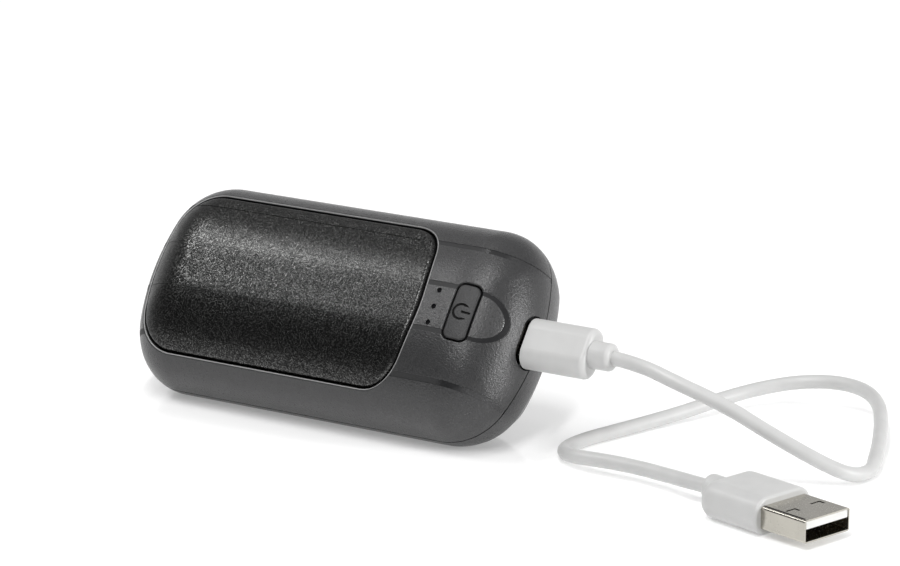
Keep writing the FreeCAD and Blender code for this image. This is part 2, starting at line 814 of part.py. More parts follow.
# Battery
cell = new_body("battery_cell")
pad(cell, "cell_pad", round_rectangle(CELL_LENGTH, "cell_width", "cell_round", CELL_CENTRE), CELL_LOW,
    "cell_thick")
nodes["battery_cell"] = cell

tray = new_body("battery_tray")
tray_outline = round_rectangle(f"{CELL_LENGTH} + 2 * tray_margin", "cell_width + 2 * tray_margin",
                               "cell_round + tray_margin", CELL_CENTRE)
pad(tray, "tray_pad", tray_outline, TRAY_LOW, "tray_thick + tray_rim")
pocket(tray, "tray_pocket", round_rectangle(CELL_LENGTH, "cell_width", "cell_round", CELL_CENTRE),
       CELL_LOW, "tray_rim")
nodes["battery_tray"] = tray

CELL_END = f"{CELL_CENTRE} + {CELL_LENGTH} / 2"
for side, sign in (("positive", "1"), ("negative", "-1")):
    nodes[f"battery_tab_{side}"] = group(f"battery_tab_{side}", [block(
        f"tab_strip_{side}", "tab_length", "tab_width", "tab_thick", f"{CELL_END} + tab_length / 2",
        f"{sign} * tab_spread / 2", PORT_BOARD_TOP)])

# Boards
main_board = new_body("main_board")
MAIN_BOARD_X = f"{MAIN_BOARD_START} + main_board_length / 2"
pad(main_board, "main_board_pad", round_rectangle(
    "main_board_length", "main_board_width", "main_board_round", MAIN_BOARD_X), MAIN_BOARD_LOW, "board_thick")
for side, sign in (("low", "-1"), ("high", "1")):
    hole = disc(SCREW_HOLE, MAIN_SCREW_X, f"{sign} * main_screw_spread / 2")
    pocket(main_board, f"main_board_hole_{side}", hole, MAIN_BOARD_LOW, "board_thick")
nodes["main_board"] = main_board

port_board = new_body("port_board")
PORT_BOARD_X = f"{PORT_BOARD_START} + port_board_length / 2"
pad(port_board, "port_board_pad", round_rectangle(
    "port_board_length", "port_board_width", "port_board_round", PORT_BOARD_X), PORT_BOARD_LOW, "board_thick")
for side, sign in (("low", "-1"), ("high", "1")):
    hole = disc(SCREW_HOLE, PORT_SCREW_X, f"{sign} * port_screw_spread / 2")
    pocket(port_board, f"port_board_hole_{side}", hole, PORT_BOARD_LOW, "board_thick")
nodes["port_board"] = port_board

nodes["board_header"] = group("board_header", [block(
    "header_block", "header_width", "header_length", f"{MAIN_BOARD_LOW} - {PORT_BOARD_TOP}", HEADER_X, "0",
    PORT_BOARD_TOP)])


def screw(name, x, y, head_low, shank_low):
    head = rod(f"{name}_head", "screw_head", "screw_head_height", x, y, head_low)
    shank = rod(f"{name}_shank", "screw_diameter", "board_thick + screw_grip", x, y, shank_low)
    return fuse(name, [head, shank])


nodes["main_board_screws"] = group("main_board_screws", [
    screw(f"main_screw_{side}", MAIN_SCREW_X, f"{sign} * main_screw_spread / 2",
          f"{MAIN_BOARD_LOW} - screw_head_height", MAIN_BOARD_LOW)
    for side, sign in (("low", "-1"), ("high", "1"))])
nodes["port_board_screws"] = group("port_board_screws", [
    screw(f"port_screw_{side}", PORT_SCREW_X, f"{sign} * port_screw_spread / 2",
          PORT_BOARD_TOP, f"{PORT_BOARD_LOW} - screw_grip")
    for side, sign in (("low", "-1"), ("high", "1"))])

nodes["controller_chip"] = group("controller_chip", [block(
    "controller_block", "controller_side", "controller_side", "chip_height",
    f"{MAIN_BOARD_X} + controller_side / 2", "0", f"{MAIN_BOARD_LOW} - chip_height")])
nodes["charger_chip"] = group("charger_chip", [block(
    "charger_block", "charger_side", "charger_side", "chip_height", PORT_BOARD_X, "0", PORT_BOARD_TOP)])
inductor = new_body("power_inductor")
pad(inductor, "inductor_pad", round_rectangle("inductor_side", "inductor_side", "inductor_round",
                                              INDUCTOR_X, "inductor_y"),
    PORT_BOARD_TOP, "inductor_height")
nodes["power_inductor"] = inductor
nodes["board_capacitors"] = group("board_capacitors", [
    block(f"capacitor_{number}", "capacitor_long", "capacitor_wide", "capacitor_high",
          f"{PORT_BOARD_X} + {place} * capacitor_pitch", "capacitor_y", PORT_BOARD_TOP)
    for number, place in ((1, -1), (2, 0), (3, 1))])

# Indicators
for number, place in ((1, -1), (2, 0), (3, 1)):
    nodes[f"indicator_led_{number}"] = group(f"indicator_led_{number}", [block(
        f"led_block_{number}", "led_wide", "led_long", "led_high", LED_X, f"{place} * led_pitch",
        "main_board_top")])
PIPE_LOW = "(main_board_top + led_high + lens_clearance)"
pipe_rods = fuse("pipe_rods", [
    rod(f"pipe_rod_{number}", "lens_diameter", HIGH, LED_X, f"{place} * led_pitch", PIPE_LOW)
    for number, place in ((1, -1), (2, 0), (3, 1))])
pipe_bar = block("pipe_bar", "pipe_bar_width", "2 * led_pitch + pipe_bar_width", "pipe_bar_height + wall",
                 LED_X, "0", f"{FACE} - wall - pipe_bar_height")
nodes["light_pipe"] = fuse("light_pipe", [common("pipe_rods_trimmed", pipe_rods, engraving_floor),
                                          common("pipe_bar_trimmed", pipe_bar, lip_face)])

# Power button and its switch
switch = new_body("switch_body")
pad(switch, "switch_pad", round_rectangle("switch_side", "switch_side", "switch_round", BUTTON_X),
    "main_board_top", "switch_height")
pocket(switch, "switch_well", disc("plunger_diameter + 2 * lens_clearance", BUTTON_X),
       f"{PLUNGER_LOW} - button_travel - lens_clearance", "switch_height")
nodes["switch_body"] = switch
nodes["switch_plunger"] = group("switch_plunger", [
    rod("plunger_rod", "plunger_diameter", "plunger_height", BUTTON_X, "0", PLUNGER_LOW)])

cap_prism = prism("cap_prism", round_rectangle("button_length", "button_width", "button_round", BUTTON_X),
                  "main_board_top", HIGH)
sharp_cap = common("cap_top", cap_prism, cut("cap_slab", skin, panel_back))
cap_top = round_mouth("cap_top_rounded", sharp_cap, cap_prism, skin, "button_edge")
lip_prism = prism("lip_prism", round_rectangle(
    "button_length + 2 * (button_gap + button_lip)", "button_width + 2 * (button_gap + button_lip)",
    "button_round + button_gap + button_lip", BUTTON_X), "main_board_top", HIGH)
cap_lip = common("cap_lip", lip_prism, cut("lip_slab", lip_face, panel_back))
cap_stem = common("cap_stem", rod("stem", "stem_diameter", HIGH, BUTTON_X, "0", PLUNGER_TOP), engraving_floor)
ring = cut("symbol_ring", rod("ring_outer", "symbol_diameter", HIGH, BUTTON_X, "0", "main_board_top"),
           rod("ring_inner", "symbol_diameter - 2 * symbol_line", HIGH, BUTTON_X, "0", "main_board_top"))
ring_open = cut("symbol_ring_open", ring, block(
    "ring_gap", "symbol_diameter", "symbol_gap", HIGH, f"{BUTTON_X} + symbol_diameter / 2", "0",
    "main_board_top"))
bar = block("symbol_bar_box", "symbol_bar", "symbol_line", HIGH, f"{BUTTON_X} + symbol_bar / 2", "0",
            "main_board_top")
symbol = cut("symbol", fuse("symbol_prism", [ring_open, bar]), engraving_floor)
nodes["button_cap"] = cut("button_cap", fuse("cap_solid", [cap_top, cap_lip, cap_stem]), symbol)

# Charging socket
socket = new_body("usb_c_socket")
pad(socket, "socket_pad", stadium("socket_height", "socket_width"), "0", "socket_length")
pocket(socket, "socket_hollow", stadium("socket_height - 2 * socket_wall", "socket_width - 2 * socket_wall"),
       "socket_wall", "socket_length")
SOCKET_BACK = f"({PORT_FLOOR} - socket_setback - socket_length)"
nodes["usb_c_socket"] = along_x(socket, SOCKET_BACK)
tongue = new_body("usb_c_tongue")
pad(tongue, "tongue_pad", round_rectangle("tongue_thick", "tongue_width", "tongue_round"), "socket_wall",
    "tongue_length")
nodes["usb_c_tongue"] = along_x(tongue, SOCKET_BACK)

# Charging lead, port end
PLUG_FACE = f"({PORT_FLOOR} + plug_gap)"
plug_shell = new_body("usb_c_plug_shell")
pad(plug_shell, "plug_shell_pad", stadium("plug_shell_height", "plug_shell_width"), "0 - plug_shell_length",
    "plug_shell_length")
pocket(plug_shell, "plug_shell_hollow", stadium(
    "plug_shell_height - 2 * plug_shell_wall", "plug_shell_width - 2 * plug_shell_wall"),
    "0 - plug_shell_length", "plug_shell_length")
nodes["usb_c_plug_shell"] = along_x(plug_shell, PLUG_FACE)
plug = new_body("usb_c_overmould")
pad(plug, "plug_pad", round_rectangle("plug_height", "plug_width", "plug_round"), "0", "plug_length")
round_rim(plug, "plug_far_edge", "plug_length", "plug_edge")
pad(plug, "plug_neck", disc("plug_neck_diameter"), "plug_length", "plug_neck_length")
round_rim(plug, "plug_neck_edge", "plug_length + plug_neck_length", "neck_edge")
nodes["usb_c_overmould"] = along_x(plug, PLUG_FACE)

# Charging lead, supply end, drawn along z from the shell's root
usb_a = new_body("usb_a_overmould")
pad(usb_a, "usb_a_pad", round_rectangle("usb_a_height", "usb_a_width", "usb_a_round"), "0 - usb_a_length",
    "usb_a_length")
round_rim(usb_a, "usb_a_near_edge", "0", "usb_a_front_edge")
round_rim(usb_a, "usb_a_far_edge", "0 - usb_a_length", "usb_a_back_edge")
pad(usb_a, "usb_a_neck", disc("usb_a_neck_diameter"), "0 - usb_a_length - usb_a_neck_length",
    "usb_a_neck_length")
round_rim(usb_a, "usb_a_neck_edge", "0 - usb_a_length - usb_a_neck_length", "neck_edge")
nodes["usb_a_overmould"] = usb_a

shell_tube = new_body("usb_a_tube")
pad(shell_tube, "tube_pad", round_rectangle("usb_a_shell_height", "usb_a_shell_width", "usb_a_shell_round"),
    "0", "usb_a_shell_length")
pocket(shell_tube, "tube_hollow", round_rectangle(
    "usb_a_shell_height - 2 * usb_a_shell_wall", "usb_a_shell_width - 2 * usb_a_shell_wall",
    "usb_a_shell_round - usb_a_shell_wall"), "0", "usb_a_shell_length")
LATCH_BAR_LOW = "(usb_a_shell_length - latch_setback)"
SHELL_TOP = "(0 - usb_a_shell_height / 2)"
LATCH_DEEP = "2 * (usb_a_shell_wall + insulator_thick)"
latch_holes = []
for side, sign in (("low", "-1"), ("high", "1")):
    latch_y = f"{sign} * latch_spread / 2"
    latch_holes.append(block(f"latch_bar_{side}", LATCH_DEEP, "latch_bar_wide", "latch_bar_long", SHELL_TOP,
                             latch_y, LATCH_BAR_LOW))
    latch_holes.append(block(f"latch_leg_{side}", LATCH_DEEP, "latch_leg_wide", "latch_leg_long", SHELL_TOP,
                             f"{latch_y} + (latch_bar_wide - latch_leg_wide) / 2",
                             f"{LATCH_BAR_LOW} + latch_bar_long / 2"))
latches = fuse("latches", latch_holes)
shell_groove = block("shell_groove", "2 * shell_groove_depth", "shell_groove_width",
                     "usb_a_shell_length - 2 * shell_groove_setback", SHELL_TOP,
                     "shell_groove_inset - usb_a_shell_width / 2", "shell_groove_setback")
INSIDE_TOP = f"({SHELL_TOP} + usb_a_shell_wall)"
insulator_block = block(
    "insulator_block", "insulator_thick", "usb_a_shell_width - 2 * usb_a_shell_wall - 2 * insulator_side_gap",
    "usb_a_shell_length - insulator_setback", f"{INSIDE_TOP} + insulator_thick / 2", "0", "0")
nodes["usb_a_insulator"] = cut("usb_a_insulator", insulator_block, latches)
shell_cuts = fuse("shell_cuts", [latches, shell_groove])
nodes["usb_a_shell"] = cut("usb_a_shell", shell_tube, shell_cuts)
nodes["usb_a_contacts"] = group("usb_a_contacts", [
    block(f"usb_a_contact_{number}", "contact_thick", "contact_width", "usb_a_shell_length - contact_setback",
          f"{INSIDE_TOP} + insulator_thick + contact_thick / 2", f"{place} * contact_pitch", "0")
    for number, place in ((1, -1.5), (2, -0.5), (3, 0.5), (4, 1.5))])

doc.recompute()

# The casing stands on one flat flank, leaning back, with its origin under its middle.
lean_rotation = Rotation(Vector(1, 0, 0), 90 - value("lean"))
leaning = [nodes[node].Shape.copy() for node in ("front_shell", "back_shell")]
for shape in leaning:
    shape.Placement = Placement(Vector(), lean_rotation).multiply(shape.Placement)
casing_box = Part.makeCompound(leaning).optimalBoundingBox(False)
STAND = Vector(0, -(casing_box.YMin + casing_box.YMax) / 2, value(FLANK_REACH))
casing_pose = Placement(STAND, lean_rotation)

supply_turn = Rotation(Vector(0, 0, 1), value("usb_a_turn"))
supply_axis = supply_turn.multVec(Vector(1, 0, 0))
supply_front = Vector(value("usb_a_front_x"), value("usb_a_front_y") + STAND.y, value("usb_a_height") / 2)
supply_pose = Placement(supply_front - supply_axis * value("usb_a_shell_length"),
                        supply_turn.multiply(Rotation(Vector(0, 1, 0), 90)))

for node, item in nodes.items():
    pose = supply_pose if node.startswith("usb_a_") else casing_pose
    item.Placement = pose.multiply(item.Placement)


def cord_path():
    """Straight runs joined by tangent arcs, each as large as its runs allow."""
    exit_x = value(f"{PLUG_FACE} + plug_length + plug_neck_length")
    start = casing_pose.multVec(Vector(exit_x, 0, value("port_lift")))
    end = supply_front - supply_axis * value("usb_a_shell_length + usb_a_length + usb_a_neck_length")
    points = [start, *(Vector(x, y + STAND.y, z) for x, y, z in CORD_ROUTE), end]
    edges = []
    radii = []
    here = start
    for before, corner, after in zip(points, points[1:], points[2:]):
        back = before - corner
        ahead = after - corner
        reach = ARC_SHARE * min(back.Length, ahead.Length)
        turn = math.pi - back.getAngle(ahead)
        radii.append(reach / math.tan(turn / 2))
        back.normalize()
        ahead.normalize()
        arc_start = corner + back * reach
        arc_end = corner + ahead * reach
        inward = (back + ahead).normalize()
        middle = corner + inward * (radii[-1] / math.cos(turn / 2) - radii[-1])
        edges.append(Part.LineSegment(here, arc_start).toShape())
        edges.append(Part.Arc(arc_start, middle, arc_end).toShape())
        here = arc_end
    edges.append(Part.LineSegment(here, end).toShape())
    return Part.Wire(edges), radii


path, bend_radii = cord_path()
section_circle = Part.Circle(path.Vertexes[0].Point, path.Edges[0].tangentAt(0), value("cord_diameter") / 2)
section = Part.Wire([section_circle.toShape()])
cord = doc.addObject("Part::Feature", "charging_cord")
cord.Shape = path.makePipeShell([section], True, False)
cord.Placement = Placement()
nodes["charging_cord"] = cord
doc.recompute()

section_area = math.pi * value("cord_diameter") ** 2 / 4
print(f"cord length {path.Length:.1f} mm, least bend {min(bend_radii):.1f} mm")
print("cord bends", [round(radius, 1) for radius in bend_radii])
print(f"cord volume {cord.Shape.Volume:.1f}, section times length {section_area * path.Length:.1f}")
print(f"stand {STAND}, plug exit {path.Vertexes[0].Point}")

failed = [item.Name for item in doc.Objects if "Invalid" in item.State or "Error" in item.State]
if failed:
    raise RuntimeError(f"objects failed to build: {failed}")
os.makedirs("parts", exist_ok=True)
for node, item in nodes.items():
    item.Label = node
    if item.Shape.isNull() or not item.Shape.isValid() or not item.Shape.Solids:
        raise RuntimeError(f"{node} has no valid solid")
for node, item in nodes.items():
    item.Shape.exportStep(f"parts/{node}.step")
    print(node, len(item.Shape.Solids), round(item.Shape.Volume, 1))
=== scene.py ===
import math

import bpy
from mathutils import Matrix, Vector


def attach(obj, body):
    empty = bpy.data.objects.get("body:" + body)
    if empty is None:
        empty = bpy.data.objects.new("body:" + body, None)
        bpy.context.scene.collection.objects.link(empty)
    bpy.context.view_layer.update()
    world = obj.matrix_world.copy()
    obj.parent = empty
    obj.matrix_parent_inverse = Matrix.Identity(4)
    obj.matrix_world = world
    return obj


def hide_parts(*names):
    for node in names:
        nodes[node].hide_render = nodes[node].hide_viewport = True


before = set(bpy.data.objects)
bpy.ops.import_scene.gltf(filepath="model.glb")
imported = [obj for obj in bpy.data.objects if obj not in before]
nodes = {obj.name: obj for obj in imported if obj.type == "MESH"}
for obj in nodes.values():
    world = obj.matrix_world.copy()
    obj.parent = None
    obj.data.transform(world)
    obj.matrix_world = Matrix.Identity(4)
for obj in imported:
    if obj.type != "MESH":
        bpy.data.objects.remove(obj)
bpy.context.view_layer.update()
scene = bpy.context.scene

MM = 0.001

# Where the casing stands: its own origin, and the lean of its back from the upright.
STAND = Vector((0.0, -0.5548, 19.9382)) * MM
LEAN = math.radians(38.0)
CASING_TURN = (math.pi / 2 - LEAN, 0.0, 0.0)

# The middle of the supply plug's mouth, and the plug's turn on the table.
MOUTH = Vector((122.7, -23.9048, 3.725)) * MM
MOUTH_TURN = (0.0, 0.0, math.radians(-15.85))

# Camera: its place, its tilt and turn, and the nearest and farthest that it sees, in metres.
CAMERA_PLACE = Vector((444.64, -657.40, 243.75)) * MM
CAMERA_DOWN = math.radians(15.312)
CAMERA_TURN = math.radians(32.555)
SENSOR_WIDTH_MM = 36.0
FOCAL_LENGTH_MM = 161.76
SEEN_FROM = 0.01
SEEN_TO = 20.0

camera_data = bpy.data.cameras.new("camera")
camera_data.sensor_width = SENSOR_WIDTH_MM
camera_data.lens = FOCAL_LENGTH_MM
camera_data.clip_start = SEEN_FROM
camera_data.clip_end = SEEN_TO
camera = bpy.data.objects.new("camera", camera_data)
camera.location = CAMERA_PLACE
camera.rotation_euler = (math.pi / 2 - CAMERA_DOWN, 0.0, CAMERA_TURN)
scene.collection.objects.link(camera)
scene.camera = camera

# Charging cord: its route in millimetres from the casing's middle, at its height above the table.
CORD_DIAMETER = 2.9 * MM
CORD_EXIT = (64.4, -1.8124, 21.354)
CORD_END = (93.167, -14.966, 3.725)
CORD_ROUTE = [
    (70.7, -2.1, 21.0),
    (78.4, -1.6, 18.5),
    (87.6, 1.1, 14.8),
    (97.0, 3.5, 9.6),
    (106.2, 6.6, 4.7),
    (110.6, 10.5, 1.9),
    (111.9, 16.2, 1.45),
    (109.5, 22.5, 1.9),
    (106.3, 30.6, 2.6),
    (102.4, 39.1, 3.6),
    (98.1, 47.1, 4.7),
    (92.2, 52.9, 5.4),
    (84.7, 54.7, 5.5),
    (77.2, 52.3, 5.0),
    (71.2, 46.6, 4.1),
    (66.6, 39.1, 3.1),
    (63.2, 30.6, 2.1),
    (59.9, 21.9, 1.6),
    (57.0, 13.0, 1.45),
    (54.3, 4.4, 1.45),
    (53.8, -3.4, 1.45),
    (58.3, -8.9, 2.3),
    (65.7, -9.9, 3.0),
    (74.6, -10.1, 3.1),
    (83.8, -12.3, 3.3),
]
CORD_STEPS = 12
CORD_ROUNDNESS = 8


def in_frame(point):
    """A point of the cord's route, in millimetres from the casing's middle, in the row frame."""
    return Vector(point) * MM + Vector((0.0, STAND.y, 0.0))


cord_points = [in_frame(point) for point in (CORD_EXIT, *CORD_ROUTE, CORD_END)]
cord_curve = bpy.data.curves.new("charging_cable", "CURVE")
cord_curve.dimensions = "3D"
cord_curve.bevel_depth = 1.0
cord_curve.bevel_resolution = CORD_ROUNDNESS
cord_curve.use_fill_caps = True
spline = cord_curve.splines.new("NURBS")
spline.points.add(len(cord_points) - 1)
for knot, point in zip(spline.points, cord_points):
    knot.co = (*point, 1.0)
    knot.radius = CORD_DIAMETER / 2
spline.order_u = 3
spline.use_endpoint_u = True
spline.resolution_u = CORD_STEPS
cable = bpy.data.objects.new("charging_cable", cord_curve)
scene.collection.objects.link(cable)
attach(cable, "charging_lead")
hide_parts("charging_cord")

# Shader nodes: the part of a noise's range that is spread out, and the soft edge of a mark.
NOISE_RANGE = (0.3, 0.7)
MASK_EDGE = 0.04 * MM
MID_GREY = (0.5, 0.5, 0.5)


def new_material(name):
    material = bpy.data.materials.new(name)
    material.use_nodes = True
    tree = material.node_tree
    tree.nodes.clear()
    output = tree.nodes.new("ShaderNodeOutputMaterial")
    shader = tree.nodes.new("ShaderNodeBsdfPrincipled")
    tree.links.new(shader.outputs["BSDF"], output.inputs["Surface"])
    return material, tree, shader


def object_place(tree):
    return tree.nodes.new("ShaderNodeTexCoord").outputs["Object"]


def axes(tree, place):
    """The three parts of a place."""
    node = tree.nodes.new("ShaderNodeSeparateXYZ")
    tree.links.new(place, node.inputs["Vector"])
    return node.outputs["X"], node.outputs["Y"], node.outputs["Z"]


def own_place(tree, origin, turn):
    """Places in a piece's own axes, in metres, from its origin and its turn."""
    node = tree.nodes.new("ShaderNodeMapping")
    node.vector_type = "TEXTURE"
    node.inputs["Location"].default_value = origin
    node.inputs["Rotation"].default_value = turn
    tree.links.new(object_place(tree), node.inputs["Vector"])
    return axes(tree, node.outputs["Vector"])


def math_node(tree, operation, *values):
    """One step of arithmetic on sockets and plain numbers."""
    node = tree.nodes.new("ShaderNodeMath")
    node.operation = operation
    for socket, value in zip(node.inputs, values):
        if isinstance(value, (int, float)):
            socket.default_value = value
        else:
            tree.links.new(value, socket)
    return node.outputs["Value"]


def less(tree, value, taken):
    return math_node(tree, "SUBTRACT", value, taken)


def times(tree, *values):
    """The product of two or more shares."""
    product = values[0]
    for value in values[1:]:
        product = math_node(tree, "MULTIPLY", product, value)
    return product


def largest(tree, first, second):
    return math_node(tree, "MAXIMUM", first, second)


def unsigned(tree, value):
    return math_node(tree, "ABSOLUTE", value)


def distance(tree, across, along):
    """How far two offsets at right angles reach together."""
    squares = [math_node(tree, "POWER", unsigned(tree, offset), 2.0) for offset in (across, along)]
    return math_node(tree, "SQRT", math_node(tree, "ADD", *squares))


def spread(tree, value, low, high, start=0.0, end=1.0):
    """A value spread from one range over another, held at its ends."""
    node = tree.nodes.new("ShaderNodeMapRange")
    node.inputs["From Min"].default_value = start
    node.inputs["From Max"].default_value = end
    node.inputs["To Min"].default_value = low
    node.inputs["To Max"].default_value = high
    tree.links.new(value, node.inputs["Value"])
    return node.outputs["Result"]


def within(tree, value, half):
    """1 where a value lies within that much of zero, 0 elsewhere, with a soft edge."""
    return spread(tree, unsigned(tree, value), 1.0, 0.0, half - MASK_EDGE, half + MASK_EDGE)


def vector_node(tree, operation, *values):
    """One step of arithmetic on vectors."""
    node = tree.nodes.new("ShaderNodeVectorMath")
    node.operation = operation
    for socket, value in zip(node.inputs, values):
        if isinstance(value, tuple):
            socket.default_value = value
        else:
            tree.links.new(value, socket)
    return node


def two_colours(tree, value, first, second):
    """The first colour where a value is 0, the second where it is 1, and a mix between."""
    node = tree.nodes.new("ShaderNodeMix")
    node.data_type = "RGBA"
    for socket, colour in ((node.inputs["A"], first), (node.inputs["B"], second)):
        if isinstance(colour, tuple):
            socket.default_value = (*colour, 1.0)
        else:
            tree.links.new(colour, socket)
    tree.links.new(value, node.inputs["Factor"])
    return node.outputs["Result"]


def noise(tree, place, size, detail, rough=0.5):
    """Cloudy noise whose clouds are about that size, spread over 0 to 1."""
    node = tree.nodes.new("ShaderNodeTexNoise")
    node.inputs["Scale"].default_value = 1.0 / size
    node.inputs["Detail"].default_value = detail
    node.inputs["Roughness"].default_value = rough
    tree.links.new(place, node.inputs["Vector"])
    return spread(tree, node.outputs["Fac"], 0.0, 1.0, *NOISE_RANGE)


def bump(tree, height, strength, depth):
    node = tree.nodes.new("ShaderNodeBump")
    node.inputs["Strength"].default_value = strength
    node.inputs["Distance"].default_value = depth
    tree.links.new(height, node.inputs["Height"])
    return node.outputs["Normal"]


def grains(tree, place, size):
    """Small cells of the surface, each with a random colour of its own."""
    node = tree.nodes.new("ShaderNodeTexVoronoi")
    node.inputs["Scale"].default_value = 1.0 / size
    tree.links.new(place, node.inputs["Vector"])
    return node.outputs["Color"]


def first_part(tree, colour):
    node = tree.nodes.new("ShaderNodeSeparateColor")
    tree.links.new(colour, node.inputs["Color"])
    return node.outputs["Red"]


def facets(tree, colour, tilt):
    """Normals that lean a different way on each cell, by up to about half that share."""
    lean = vector_node(tree, "SUBTRACT", colour, MID_GREY).outputs["Vector"]
    scaled = vector_node(tree, "SCALE", lean)
    scaled.inputs["Scale"].default_value = tilt
    flat = tree.nodes.new("ShaderNodeNewGeometry").outputs["Normal"]
    leaning = vector_node(tree, "ADD", flat, scaled.outputs["Vector"]).outputs["Vector"]
    return vector_node(tree, "NORMALIZE", leaning).outputs["Vector"]


# Moulded and plated finishes
DRIFT_SIZE = 4.5 * MM
DRIFT_DETAIL = 2.0
DRIFT_SHADE = 0.94
GRAIN_SIZE = 0.33 * MM
GRAIN_DETAIL = 4.0
GRAIN_BUMP = 0.2
GRAIN_DEPTH = 0.02 * MM
GLOSS_DRIFT = 0.05
# Near-black painted shade, for places of a piece that lie in shade.
PAINTED_SHADE_DARK = (0.010, 0.009, 0.008)


def plain_material(name, colour, roughness, metallic=0.0, specular=0.5, depth=GRAIN_DEPTH, painted_shade_share=None):
    """A moulded or plated finish: a slight drift of colour and gloss, a fine grain, and any painted shade."""
    material, tree, shader = new_material(name)
    place = object_place(tree)
    drift = noise(tree, place, DRIFT_SIZE, DRIFT_DETAIL)
    fine = noise(tree, place, GRAIN_SIZE, GRAIN_DETAIL)
    darker = tuple(part * DRIFT_SHADE for part in colour)
    tint = two_colours(tree, drift, darker, colour)
    gloss = spread(tree, fine, roughness - GLOSS_DRIFT, roughness + GLOSS_DRIFT)
    shader.inputs["Metallic"].default_value = metallic
    # Painted shade: near black, fully rough and not metallic where the shade share is 1.
    if painted_shade_share:
        dark = painted_shade_share(tree)
        tint = two_colours(tree, dark, tint, PAINTED_SHADE_DARK)
        gloss = largest(tree, gloss, dark)
        tree.links.new(spread(tree, dark, metallic, 0.0), shader.inputs["Metallic"])
    tree.links.new(tint, shader.inputs["Base Color"])
    tree.links.new(gloss, shader.inputs["Roughness"])
    tree.links.new(bump(tree, fine, GRAIN_BUMP, depth), shader.inputs["Normal"])
    shader.inputs["Specular IOR Level"].default_value = specular
    return material


# Places of painted shade on the supply plug, from the middle of its mouth
FOLD_Y = -5.25 * MM
FOLD_HALF = 0.27 * MM
FOLD_LOW = 1.95 * MM
FOLD_SETBACK = -0.6 * MM
INSULATOR_FACE = -1.2 * MM


def fold_painted_shade_share(tree):
    """Painted shade: 1 in the narrow fold along the near top edge of the supply plug's shell, 0 elsewhere."""
    x, y, z = own_place(tree, MOUTH, MOUTH_TURN)
    line = within(tree, less(tree, y, FOLD_Y), FOLD_HALF)
    inset = math_node(tree, "LESS_THAN", x, FOLD_SETBACK)
    upper = math_node(tree, "GREATER_THAN", z, FOLD_LOW)
    return times(tree, line, inset, upper)


def inside_painted_shade_share(tree):
    """Painted shade: 1 on the insulator behind the supply plug's mouth, which the shell keeps in shade, and 0
    at the mouth.
    """
    x, _, _ = own_place(tree, MOUTH, MOUTH_TURN)
    return math_node(tree, "LESS_THAN", x, INSULATOR_FACE)


# Marks of the casing, from its own middle: the outer channels, the inner lines and the arch that joins these.
FRONT_LOW = 0.2 * MM
# Half width of the painted shade along the parting seam.
SEAM_HALF = 0.15 * MM
CHANNEL_Y = 14.4 * MM
CHANNEL_HALF = 0.55 * MM
CHANNEL_FADE = (37.8 * MM, 39.2 * MM)
CHANNEL_FADED = 0.1
LINE_Y = 4.9 * MM
LINE_HALF = 0.525 * MM
ARCH_Y = 4.82 * MM
ARCH_HALF = 0.43 * MM
ARCH_CENTRE_X = 38.0 * MM

# The window round the panel: its straight sides, rounded corners and bowed ends, the painted shade on its
# wall and the painted highlight along its rim.
WINDOW_X = -7.9 * MM
WINDOW_CORNER = (23.36 * MM, 9.0 * MM)
WINDOW_CORNER_RADIUS = 8.75 * MM
WINDOW_BOW_X = -11.75 * MM
WINDOW_BOW_RADIUS = 45.0 * MM
WINDOW_BOW_HALF = 11.17 * MM
WINDOW_WIDE = 22.7 * MM
WINDOW_LOW = 6.0 * MM
WINDOW_PAINTED_HIGHLIGHT = (0.28 * MM, 0.12 * MM)
WINDOW_PAINTED_SHADE = (0.0, 0.14 * MM)

# The button and the power symbol on it
BUTTON_X = 34.85 * MM
SYMBOL_RADIUS = 1.535 * MM
SYMBOL_LINE_HALF = 0.25 * MM
SYMBOL_BAR = 1.85 * MM
SYMBOL_GAP_HALF = 1.2 * MM


def polished_share(tree, x, y, z):
    """Two shares: 1 in the straight channels and lines and the arch of the front; and 1 inside the arch,
    where a painted sheen goes; 0 elsewhere.
    """
    across = unsigned(tree, y)
    channel, line = (within(tree, less(tree, across, middle), half)
                     for middle, half in ((CHANNEL_Y, CHANNEL_HALF), (LINE_Y, LINE_HALF)))
    fading = times(tree, channel, spread(tree, x, 1.0, CHANNEL_FADED, *CHANNEL_FADE))
    lead_in = times(tree, line, math_node(tree, "LESS_THAN", x, BUTTON_X))
    past = largest(tree, less(tree, x, ARCH_CENTRE_X), 0.0)
    radius = distance(tree, past, y)
    arch = within(tree, less(tree, radius, ARCH_Y), ARCH_HALF)
    front = math_node(tree, "GREATER_THAN", z, FRONT_LOW)
    marks = largest(tree, largest(tree, fading, lead_in), arch)
    return times(tree, marks, front), times(tree, within(tree, radius, ARCH_Y), front)


def painted_highlight_and_shade_share(tree, x, y, z):
    """Painted highlight: 1 in a narrow rim round the panel's window; painted shade: 1 on the wall below it; 0
    elsewhere.
    """
    along = unsigned(tree, less(tree, x, WINDOW_X))
    across = unsigned(tree, y)
    past, wide = (largest(tree, less(tree, offset, middle), 0.0)
                  for offset, middle in zip((along, across), WINDOW_CORNER))
    from_corner = less(tree, distance(tree, past, wide), WINDOW_CORNER_RADIUS)
    from_bow = less(tree, distance(tree, less(tree, along, WINDOW_BOW_X), across), WINDOW_BOW_RADIUS)
    at_corner = within(tree, less(tree, across, WINDOW_WIDE), WINDOW_WIDE - WINDOW_BOW_HALF)
    at_bow = less(tree, 1.0, at_corner)
    outside = math_node(tree, "ADD", times(tree, from_corner, at_corner), times(tree, from_bow, at_bow))
    front = math_node(tree, "GREATER_THAN", z, WINDOW_LOW)
    rim, wall = (within(tree, less(tree, outside, middle), half)
                 for middle, half in (WINDOW_PAINTED_HIGHLIGHT, WINDOW_PAINTED_SHADE))
    return times(tree, rim, front), times(tree, wall, front)


